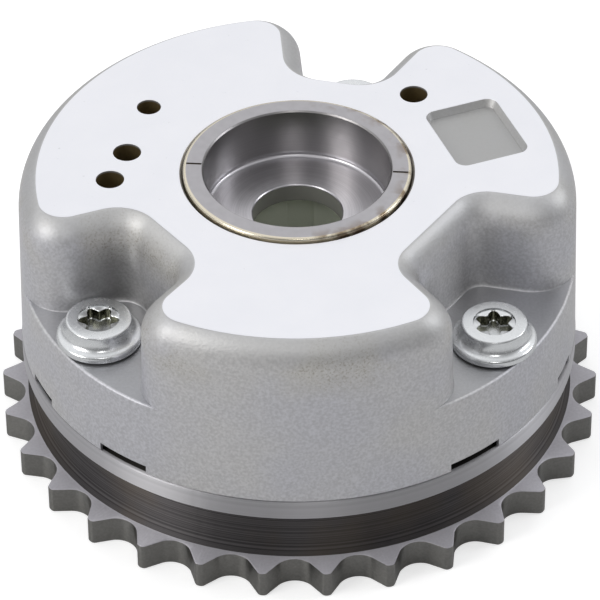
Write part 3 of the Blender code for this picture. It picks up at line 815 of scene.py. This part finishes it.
def sectors(spans, inner_r, outer_r, corner, wall_slot_r=None, tip_slot_r=None):
    """Sectors on a hub in plan, each span from and to an angle, with rounded outer corners."""
    spans = sorted(spans)
    lean = np.degrees(np.arcsin(corner / (outer_r - corner)))
    outline = []
    for (start, end), (following, _) in zip(spans, spans[1:] + [(spans[0][0] + 360.0, None)]):
        first, last = ((outer_r - corner) * spin(a) for a in (start + lean, end - lean))
        outline += [arc(first, corner, start - 90.0, start + lean, 8)[:-1],
                    edge_arc(outer_r, start + lean, end - lean, tip_slot_r),
                    arc(last, corner, end - lean, end + 90.0, 8)[1:],
                    edge_arc(inner_r, end, following, wall_slot_r)]
    return np.concatenate(outline)


def pocket_rings():
    """The pocket's outline at its floor and above the face; its sides slope outwards."""
    x, y = (half - POCKET_CORNER for half in POCKET_HALF)
    corners = [(x + 1j * y, 0.0), (-x + 1j * y, 90.0), (-x - 1j * y, 180.0), (x - 1j * y, 270.0)]
    return [np.concatenate([arc(c, POCKET_CORNER + grow, start, start + 90.0, 9) for c, start in corners])
            * spin(POCKET_TURN) + POCKET_AT for grow in (-POCKET_SLOPE, 0.0, 0.1)]


chamber_plan = sectors(CHAMBERS.values(), WALL_TIP_R, CHAMBER_R, 2.5, wall_slot_r=WALL_SLOT_R)
print("the chambers' plan has", len(chamber_plan), "points")

# %% Cut the housing
BOLT_HOLE_R = 3.2
# Each slot in the rim: direction and width
RIM_NOTCHES = [(204.3, 7.0), (231.7, 9.1), (307.8, 9.6), (340.6, 6.1), (60.0, 8.0), (92.0, 8.0)]
RIM_NOTCH_R = 41.0


def bar(direction, r0, r1, width, z0, z1):
    """A straight block that reaches from r0 to r1 in a direction."""
    half = 0.5j * width
    corners = np.array((r0 - half, r1 - half, r1 + half, r0 + half))
    return prism("bar", corners * spin(direction), z0, z1)


def drill(at, radius, z0, z1):
    """A round tool."""
    return prism("drill", circle(radius, 48, at), z0, z1)


tools = [drill(at, r, CEILING_Z - 1.0, FACE_Z + 1.0) for at, r in VENT_HOLES]
tools += [drill(at, BOLT_HOLE_R, SKIRT_Z - 1.0, SEAT_Z + 1.0) for at in BOLT_AT.values()]
tools += [bar(a, RIM_NOTCH_R, WALL_R + 2.0, width, SKIRT_Z - 1.0, RIM_NOTCH_Z) for a, width in RIM_NOTCHES]
tools.append(stack("pocket", pocket_rings(), [POCKET_Z, FACE_Z, FACE_Z + 0.2]))
combine(housing, "DIFFERENCE", prism("chambers", chamber_plan, SKIRT_Z - 1.0, CEILING_Z))
nose_bore = sharp((0, CEILING_Z - 2.0), (HOUSING_NOSE_R, CEILING_Z - 2.0),
                  (HOUSING_NOSE_R, FACE_Z - 1.5 * NOSE_BEVEL), (HOUSING_NOSE_R + NOSE_BEVEL, FACE_Z),
                  (HOUSING_NOSE_R + NOSE_BEVEL, FACE_Z + 1.0), (0, FACE_Z + 1.0))
combine(housing, "DIFFERENCE", turned("nose_bore", nose_bore))
combine(housing, "DIFFERENCE", *tools)
dress(soften(housing), cast, "stator", "cast_aluminium", "housing")

# %% [markdown]
# ## The sprocket
#
# Sprocket, neck and flange are one piece, so they are one surface. An Array of one tooth would leave seams.
# Here all teeth are one outline, and all rings use its angles. Six rings of the section follow the teeth, and
# the others are circles. The section runs once round: from the bore's lower edge over the relief, the teeth,
# the neck and the flange and back down the bore.

# %% The tooth outline
TEETH, TIP_R, ROOT_R = 30, 48.1, 44.45
VALLEY_R, VALLEY_DEG = 3.3, 50.0
TIP_FLAT, TIP_EASE = 1.1, 0.45
FRONT_VALLEY_DEG = -91.27


def one_tooth():
    """Half a tooth, a valley and half a tooth, as offset along the pitch + i radius.

    The valley is an arc, the flanks are straight, and the tip's corners are eased.
    """
    side = np.radians(np.linspace(0.0, VALLEY_DEG, 10))
    valley = VALLEY_R * np.sin(side) + 1j * (ROOT_R + VALLEY_R * (1 - np.cos(side)))
    half_pitch = TIP_R * np.pi / TEETH
    corner = half_pitch - TIP_FLAT / 2
    foot = valley[-1]
    climb = eased([(foot.real, foot.imag, 0), (corner, TIP_R, TIP_EASE), (half_pitch, TIP_R, 0)], 4)
    half = np.concatenate((valley, climb[1:]))
    return np.concatenate((-half[:0:-1].conjugate(), half[:-1]))


def tooth_outline():
    """All teeth: an offset x at radius r stands at the angle x / r from its valley."""
    one = one_tooth()
    swing = np.degrees(one.real / one.imag)
    valleys = FRONT_VALLEY_DEG + 360.0 * np.arange(TEETH)[:, None] / TEETH
    return (one.imag * spin(valleys + swing)).ravel()


def inset(outline, distance):
    """The outline moved inwards along its normals, which are i times its tangents."""
    tangent = np.roll(outline, -1) - np.roll(outline, 1)
    return outline + distance * 1j * tangent / abs(tangent)


print("the tooth outline has", len(tooth_outline()), "points")

# %% [markdown]
# ## The sprocket's section
#
# The neck's two curves are quarter ellipses that meet in the waist. The teeth's edges are eased by rings
# that are moved inwards along the outline's normals.

# %% The section and the surface
NECK_FOOT_R, NECK_R, NECK_LOW_Z, NECK_HIGH_Z = 44.12, 42.45, 8.5, 9.5
NECK_LIP_R, BORE_R, BORE_EASE = 44.0, 18.0, 0.4
RELIEF_IN, RELIEF_OUT, RELIEF_Z = 21.5, 33.0, 8.0
EDGE_EASE, EDGE_STEP = 0.22, 0.06


def neck_section():
    """Two quarter ellipses: down from the flange into the waist, and out again into the tooth plane."""
    turn = np.radians(np.linspace(0.0, 90.0, 15))
    foot = (NECK_FOOT_R - (NECK_FOOT_R - NECK_R) * np.sin(turn)
            + 1j * (TOOTH_H + (NECK_LOW_Z - TOOTH_H) * (1 - np.cos(turn))))
    lip = (NECK_R + (NECK_LIP_R - NECK_R) * (1 - np.cos(turn))
           + 1j * (NECK_HIGH_Z + (FLANGE_Z - NECK_HIGH_Z) * np.sin(turn)))
    return np.concatenate((foot, lip))


def sprocket_surface():
    teeth = tooth_outline()
    angles = spin(np.degrees(np.angle(teeth)))
    groove = eased([(BORE_R, BORE_EASE, 0), (BORE_R + BORE_EASE, 0.0, 0), (RELIEF_IN, 0.0, 0.3),
                    (RELIEF_IN, RELIEF_Z, 0.8), (RELIEF_OUT, RELIEF_Z, 1.2), (RELIEF_OUT + 0.4, 0.0, 0.3),
                    (RELIEF_OUT + 1.5, 0.0, 0)])
    flange = eased([(NECK_LIP_R, FLANGE_Z, 0), (FLANGE_R, FLANGE_Z, 0.12), (FLANGE_R, PLATE_Z, 0.35),
                    (BORE_R + BORE_EASE, PLATE_Z, 0), (BORE_R, PLATE_Z - BORE_EASE, 0)], 4)[1:]
    edge, edge_z = [inset(teeth, EDGE_EASE), inset(teeth, EDGE_STEP), teeth], [0.0, EDGE_STEP, EDGE_EASE]
    rim, rim_z = edge + edge[::-1], edge_z + [TOOTH_H - z for z in edge_z[::-1]]
    outer = np.concatenate((neck_section(), flange))
    plans = np.vstack((groove.real[:, None] * angles, rim, outer.real[:, None] * angles))
    return stack("sprocket_steel", plans, np.concatenate((groove.imag, rim_z, outer.imag)), ring=True)


THREAD_HOLE_Z = 6.8
PIN_AT, PIN_R, PIN_HEAD_R = -26.7 + 5.2j, 3.6, 4.5
BUSH_Z, BUSH_R, GAP = 11.1, 5.5, 0.3
sprocket = sprocket_surface()
combine(sprocket, "DIFFERENCE", drill(PIN_AT, BUSH_R + GAP, BUSH_Z - GAP, PLATE_Z + 1.0),
        *[drill(at, BOLT_HOLE_R, THREAD_HOLE_Z, PLATE_Z + 1.0) for at in BOLT_AT.values()])
dress(soften(sprocket), sintered, "stator", "sintered_steel", "sprocket")

# %% [markdown]
# ## The rotor
#
# Three vanes on a hub. The hub's nose comes out of the housing by half a millimetre, and its recess takes the
# centre bolt. A line is scribed across the nose. Behind the web is the socket for the camshaft, with a
# keyway and small oil ports. The hub is turned, the vanes join it, and the rest is cut.

# %% Hub, vanes and bores
HUB_R, VANE_R, VANE_TOP = 19.2, CHAMBER_R - GAP, CEILING_Z - GAP
TRAVEL, STOP_GAP = 30.0, 1.0
REAR_R, REAR_Z = 17.7, 0.8
CUP_FILLET, CUP_LIP, HOLE_R, SOCKET_R = 0.8, 0.22, 7.1, 12.0
KEYWAY_DEG, KEYWAY_W, KEYWAY_R, KEYWAY_Z = 88.0, 4.3, 13.2, 33.6
PORT_R, PORT_Z0, PORT_Z1, PORT_BEFORE_DEG, PORT_AFTER_DEG = 1.2, 24.5, 31.0, 4.5, 3.8
PIN_LEDGE_Z = 22.0
SCRIBE_DEG, SCRIBE_W, SCRIBE_DEPTH = 175.2, 0.42, 0.15


def port(direction, z):
    """A round tool that lies along a radius: its circle stands upright, so it is laid out in 3-D."""
    ring = circle(PORT_R, 20)
    reach = np.array((SOCKET_R - 1.0, HUB_R + 1.0))[:, None]
    plan = (reach + 1j * ring.real) * spin(direction)
    points = np.stack((plan.real, plan.imag, np.broadcast_to(z + ring.imag, plan.shape)), -1) * MM
    return piece("port", points, quads(2, 20) + [list(range(20)), list(range(20, 40))])


vane_spans = [(start + TRAVEL + STOP_GAP, end - STOP_GAP) for start, end in CHAMBERS.values()]
hub = eased([(0, REAR_Z, 0), (REAR_R, REAR_Z, 0.5), (REAR_R, SKIRT_Z + 1.0, 0), (NOSE_R, SKIRT_Z + 2.0, 0),
             (NOSE_R, NOSE_Z, NOSE_EASE), (0, NOSE_Z, 0)], 8)
bores = eased([(0, -1.0, 0), (SOCKET_R + 1.0, -1.0, 0), (SOCKET_R + 1.0, REAR_Z - 0.2, 0),
               (SOCKET_R, REAR_Z + 0.8, 0), (SOCKET_R, WEB_Z, 0), (HOLE_R + 0.25, WEB_Z, 0),
               (HOLE_R, WEB_Z + 0.25, 0), (HOLE_R, CUP_Z - 0.15, 0), (HOLE_R + 0.15, CUP_Z, 0),
               (CUP_R, CUP_Z, CUP_FILLET), (CUP_R, NOSE_Z - CUP_LIP, 0), (CUP_R + 0.4, NOSE_Z + CUP_LIP, 0),
               (0, NOSE_Z + CUP_LIP, 0)], 8)
pin_bore = sharp((0, 10.0), (PIN_R + GAP, 10.0), (PIN_R + GAP, PIN_LEDGE_Z),
                 (PIN_HEAD_R + GAP, PIN_LEDGE_Z), (PIN_HEAD_R + GAP, 44.0), (0, 44.0))
rotor = turned("rotor_steel", hub)
vane_plan = sectors(vane_spans, HUB_R, VANE_R, 2.2, tip_slot_r=VANE_SLOT_R)
combine(rotor, "UNION", prism("vanes", vane_plan, SKIRT_Z, VANE_TOP))
combine(rotor, "DIFFERENCE", turned("bores", bores))
tools = [bar(KEYWAY_DEG, SOCKET_R - 1.0, KEYWAY_R, KEYWAY_W, -1.0, KEYWAY_Z),
         turned("pin_bore", pin_bore, 64, at=PIN_AT)]
tools += [port(start - PORT_BEFORE_DEG, PORT_Z0) for start, _ in vane_spans]
tools += [port(end + PORT_AFTER_DEG, PORT_Z1) for _, end in vane_spans]
tools += [bar(SCRIBE_DEG + turn, CUP_R + 0.3, NOSE_R - NOSE_EASE, SCRIBE_W, NOSE_Z - SCRIBE_DEPTH,
              NOSE_Z + 1.0) for turn in (0.0, 180.0)]
combine(rotor, "DIFFERENCE", *tools)
dress(soften(rotor), turned_steel, "rotor", "turned_steel", "rotor")

# %% [markdown]
# ## The bolts
#
# A flange bolt with a six-lobe recess is turned up to the edge of the recess. From there inwards its rings
# have lobes: the radius is a mean plus a wave of six. On the shank it also carries the thread, whose crest
# climbs by one pitch in a turn. Both could be cut out, but rings leave no slivers.

# %% One bolt
UNDER_HEAD = SEAT_Z + GAP
BOLT_FLANGE_R, HEAD_R = 6.67, 5.15
SHANK_R, SHANK_Z, TIP_CHAMFER = 2.9, 7.5, 0.5
THREAD_TOP, THREAD_PITCH, THREAD_DEPTH, THREAD_FADE = 26.0, 1.0, 0.32, 0.8
LOBE_MEAN, LOBE_WAVE = 2.62, 0.50
LOBES_AT = {"back": 0.0, "left": 0.0, "right": 30.0}


def shank_rings(around):
    """Radius and height of the threaded shank's rings; the tip's thread fades into a chamfer."""
    z = np.arange(SHANK_Z + 0.3, THREAD_TOP, THREAD_PITCH / 8)[:, None]
    climb = (z / THREAD_PITCH - around / 360.0) % 1.0
    crest = 1 - abs(2 * climb - 1)
    fade = np.clip(np.minimum(z - z[0], THREAD_TOP - z) / THREAD_FADE, 0.0, 1.0)
    chamfer = TIP_CHAMFER * np.clip(1 - (z - SHANK_Z) / 0.6, 0.0, 1.0)
    return SHANK_R - THREAD_DEPTH * (1 - crest) * fade - chamfer, z.ravel()


def bolt(bay):
    """Threaded shank, flange and head, then the recess: one stack of rings from the tip up and in."""
    around = np.arange(192) * 360.0 / 192
    shank_r, shank_z = shank_rings(around)
    head = eased([(SHANK_R, THREAD_TOP, 0), (SHANK_R, UNDER_HEAD, 0), (BOLT_FLANGE_R, UNDER_HEAD, 0.2),
                  (BOLT_FLANGE_R, UNDER_HEAD + 1.05, 0.45), (HEAD_R + 0.5, UNDER_HEAD + 1.5, 0.5),
                  (HEAD_R, HEAD_TOP - 1.2, 0.9), (HEAD_R, HEAD_TOP, 0.42), (COUNTERSINK_R, HEAD_TOP, 0)], 6)
    lobed = LOBE_MEAN + LOBE_WAVE * np.cos(np.radians(6 * (around - LOBES_AT[bay])))
    ledge = np.full_like(lobed, COUNTERSINK_R - 0.1)
    recess = np.array([ledge, lobed + 0.06, lobed, lobed, lobed * 0.93])
    radii = np.vstack((shank_r, head.real[:, None] * np.ones(len(around)), recess))
    depths = (HEAD_TOP - 0.3, HEAD_TOP - 0.4, HEAD_TOP - 0.46, LOBE_FLOOR + 0.25, LOBE_FLOOR)
    heights = np.concatenate((shank_z, head.imag, depths))
    return stack(f"flange_bolt_{bay}", BOLT_AT[bay] + radii * spin(around), heights)


for bay in BOLT_AT:
    dress(soften(bolt(bay), 28.0), zinc, "stator", "zinc_plate", f"bolt_{bay}")

# %% [markdown]
# ## The lock pin and its spring
#
# At the retarded stop a spring-loaded pin locks the rotor to a bush in the sprocket. Pin, cap and bush are
# turned. The spring is a round wire carried along a helix: its point is the helix plus the wire's radius in
# the two directions across it. Its first and last turns lie close, as a real spring's do.

# %% Pin, cap, bush and spring
PIN_TOP_Z, PIN_CUP_Z, PIN_CUP_R = 30.0, 19.0, 2.9
CAP_Z0, CAP_Z1, CAP_VENT_R = 36.3, 39.4, 1.2
COIL_R, WIRE_R, COIL_TURNS = 2.2, 0.35, 8


def coil_spring():
    """A wire along a helix, with its turns crowded at both ends, and both ends closed by flat faces."""
    along, around = 24 * COIL_TURNS, 12
    share = np.linspace(0.0, 1.0, along)[:, None]
    z0, z1 = PIN_CUP_Z + GAP + WIRE_R, CAP_Z0 - GAP - WIRE_R
    crowded = share - 0.62 * np.sin(2 * np.pi * share) / (2 * np.pi)
    outwards = spin(360.0 * COIL_TURNS * share)
    wire = circle(WIRE_R, around)
    plan = PIN_AT + (COIL_R + wire.real) * outwards
    height = z0 + (z1 - z0) * crowded + wire.imag
    points = np.stack((plan.real, plan.imag, height), -1) * MM
    ends = [list(range(around)), list(range((along - 1) * around, along * around))]
    return piece("lock_spring_coil", points, quads(along, around) + ends)


pin = eased([(0, SKIRT_Z, 0), (PIN_R, SKIRT_Z, 0.5), (PIN_R, PIN_LEDGE_Z + GAP, 0),
             (PIN_HEAD_R, PIN_LEDGE_Z + GAP, 0.15), (PIN_HEAD_R, PIN_TOP_Z, 0.3), (PIN_CUP_R, PIN_TOP_Z, 0.2),
             (PIN_CUP_R, PIN_CUP_Z, 0.5), (0, PIN_CUP_Z, 0)])
cap = eased([(CAP_VENT_R, CAP_Z0, 0.1), (PIN_HEAD_R, CAP_Z0, 0.2), (PIN_HEAD_R, CAP_Z1, 0.3),
             (CAP_VENT_R, CAP_Z1, 0.2)], closed=True)
bush = eased([(PIN_R + GAP, BUSH_Z, 0.1), (BUSH_R, BUSH_Z, 0.2), (BUSH_R, PLATE_Z - GAP, 0.2),
              (PIN_R + GAP, PLATE_Z - GAP, 0.4)], closed=True)
for name, section, body, node, ring in (("lock_pin_ground", pin, "lock_pin", "lock_pin", False),
                                        ("lock_cap_ground", cap, "rotor", "lock_pin_cap", True),
                                        ("lock_bush_ground", bush, "stator", "lock_pin_bush", True)):
    dress(soften(turned(name, section, 64, PIN_AT, ring)), ground, body, "hardened_steel", node)
spring = dress(soften(coil_spring(), 60.0), drawn, "rotor", "spring_steel", "lock_pin_spring")
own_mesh(spring)

# %% [markdown]
# ## Seals
#
# The seal bars are straight, and the strips behind them bend only one way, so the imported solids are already
# right. They only need their finishes.

# %% Dress what stays
for name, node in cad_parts.items():
    if node.hide_render:
        continue
    node.data.materials.clear()
    node.data.materials.append(drawn if "spring" in name else seal)
    print("kept", name)

# %% [markdown]
# ## Floor
#
# The part stands on a plain pale floor. A strong lamp would make it white, but would wash out the metal too.
# Instead it has a little light of its own that only the camera sees, which keeps the part's shadow.

# %% Floor
FLOOR_HALF = 1.6    # metres
FLOOR_Z = -0.05
FLOOR_GLOW = 0.55


def floor():
    """One square face, just under the part."""
    corners = np.array([(-1, -1, 0), (1, -1, 0), (1, 1, 0), (-1, 1, 0)]) * FLOOR_HALF
    corners[:, 2] = FLOOR_Z * MM
    sheet = piece("floor", corners, [[0, 1, 2, 3]])
    finish = Finish("floor_white", metallic=0.0, roughness=0.9)
    seen = finish.node("ShaderNodeLightPath", out="Is Camera Ray")
    glow = finish.mix(seen, (0.0, 0.0, 0.0, 1.0), (1.0, 1.0, 1.0, 1.0))
    finish.feed(Base_Color=(0.62, 0.62, 0.62, 1.0), Emission_Color=glow, Emission_Strength=FLOOR_GLOW)
    sheet.data.materials.append(finish.done())


floor()

# %% [markdown]
# ## Room and lamps
#
# The room is white to the camera. The metal sees it bright above and behind, and darker towards the camera
# and the horizon, so that its curves have something to mirror. Three small lamps draw the bright spots on the
# shoulders and the streaks on the flange.

# %% World and lamps
ROOM_LEVEL, ROOM_LOW, ROOM_FRONT = 1.06, 0.38, 0.29


def room():
    """White to the camera, and graded for everything else."""
    world = bpy.data.worlds.new("studio")
    world.use_nodes = True
    bpy.context.scene.world = world
    graph = Graph(world.node_tree)
    direction = graph.node("ShaderNodeTexCoord", out="Generated")
    x, y, z = (graph.node("ShaderNodeSeparateXYZ", {}, {0: direction}, out=axis) for axis in "XYZ")
    behind = ROOM_FRONT + (1 - ROOM_FRONT) * (y * 0.94 - x * 0.34).rise(-0.95, 0.35)
    above = ROOM_LOW + (1 - ROOM_LOW) * z.rise(-0.1, 0.6)
    seen = graph.node("ShaderNodeLightPath", out="Is Camera Ray")
    background = graph.nodes["Background"]
    graph.join(background.inputs["Color"], graph.mix(seen, (0.985, 0.99, 1.0, 1.0), (1.0, 1.0, 1.0, 1.0)))
    graph.join(background.inputs["Strength"], seen + (1 - seen) * behind * above * ROOM_LEVEL)


def lamp(name, at, size, power, colour):
    """A square lamp in metres and watts, turned so that its back points away from the part."""
    light = added(name, bpy.data.lights.new(name, "AREA"))
    light.data.size, light.data.energy, light.data.color = size, power, colour
    back = np.array(at) / np.linalg.norm(at)
    right = np.cross((0.0, 0.0, 1.0), back)
    right /= np.linalg.norm(right)
    place(light, np.column_stack((right, np.cross(back, right), back)), at)
    print(name, "at", at, "with", power, "W")


room()
lamp("lamp_left", (-0.58, -0.36, 0.44), 0.32, 1.9, (1.0, 0.99, 0.97))
lamp("lamp_right", (0.62, 0.10, 0.42), 0.22, 0.8, (0.95, 0.97, 1.0))
lamp("lamp_front", (0.06, -0.64, 0.62), 0.20, 0.5, (1.0, 0.99, 0.98))
bpy.context.scene.view_settings.view_transform = "Standard"
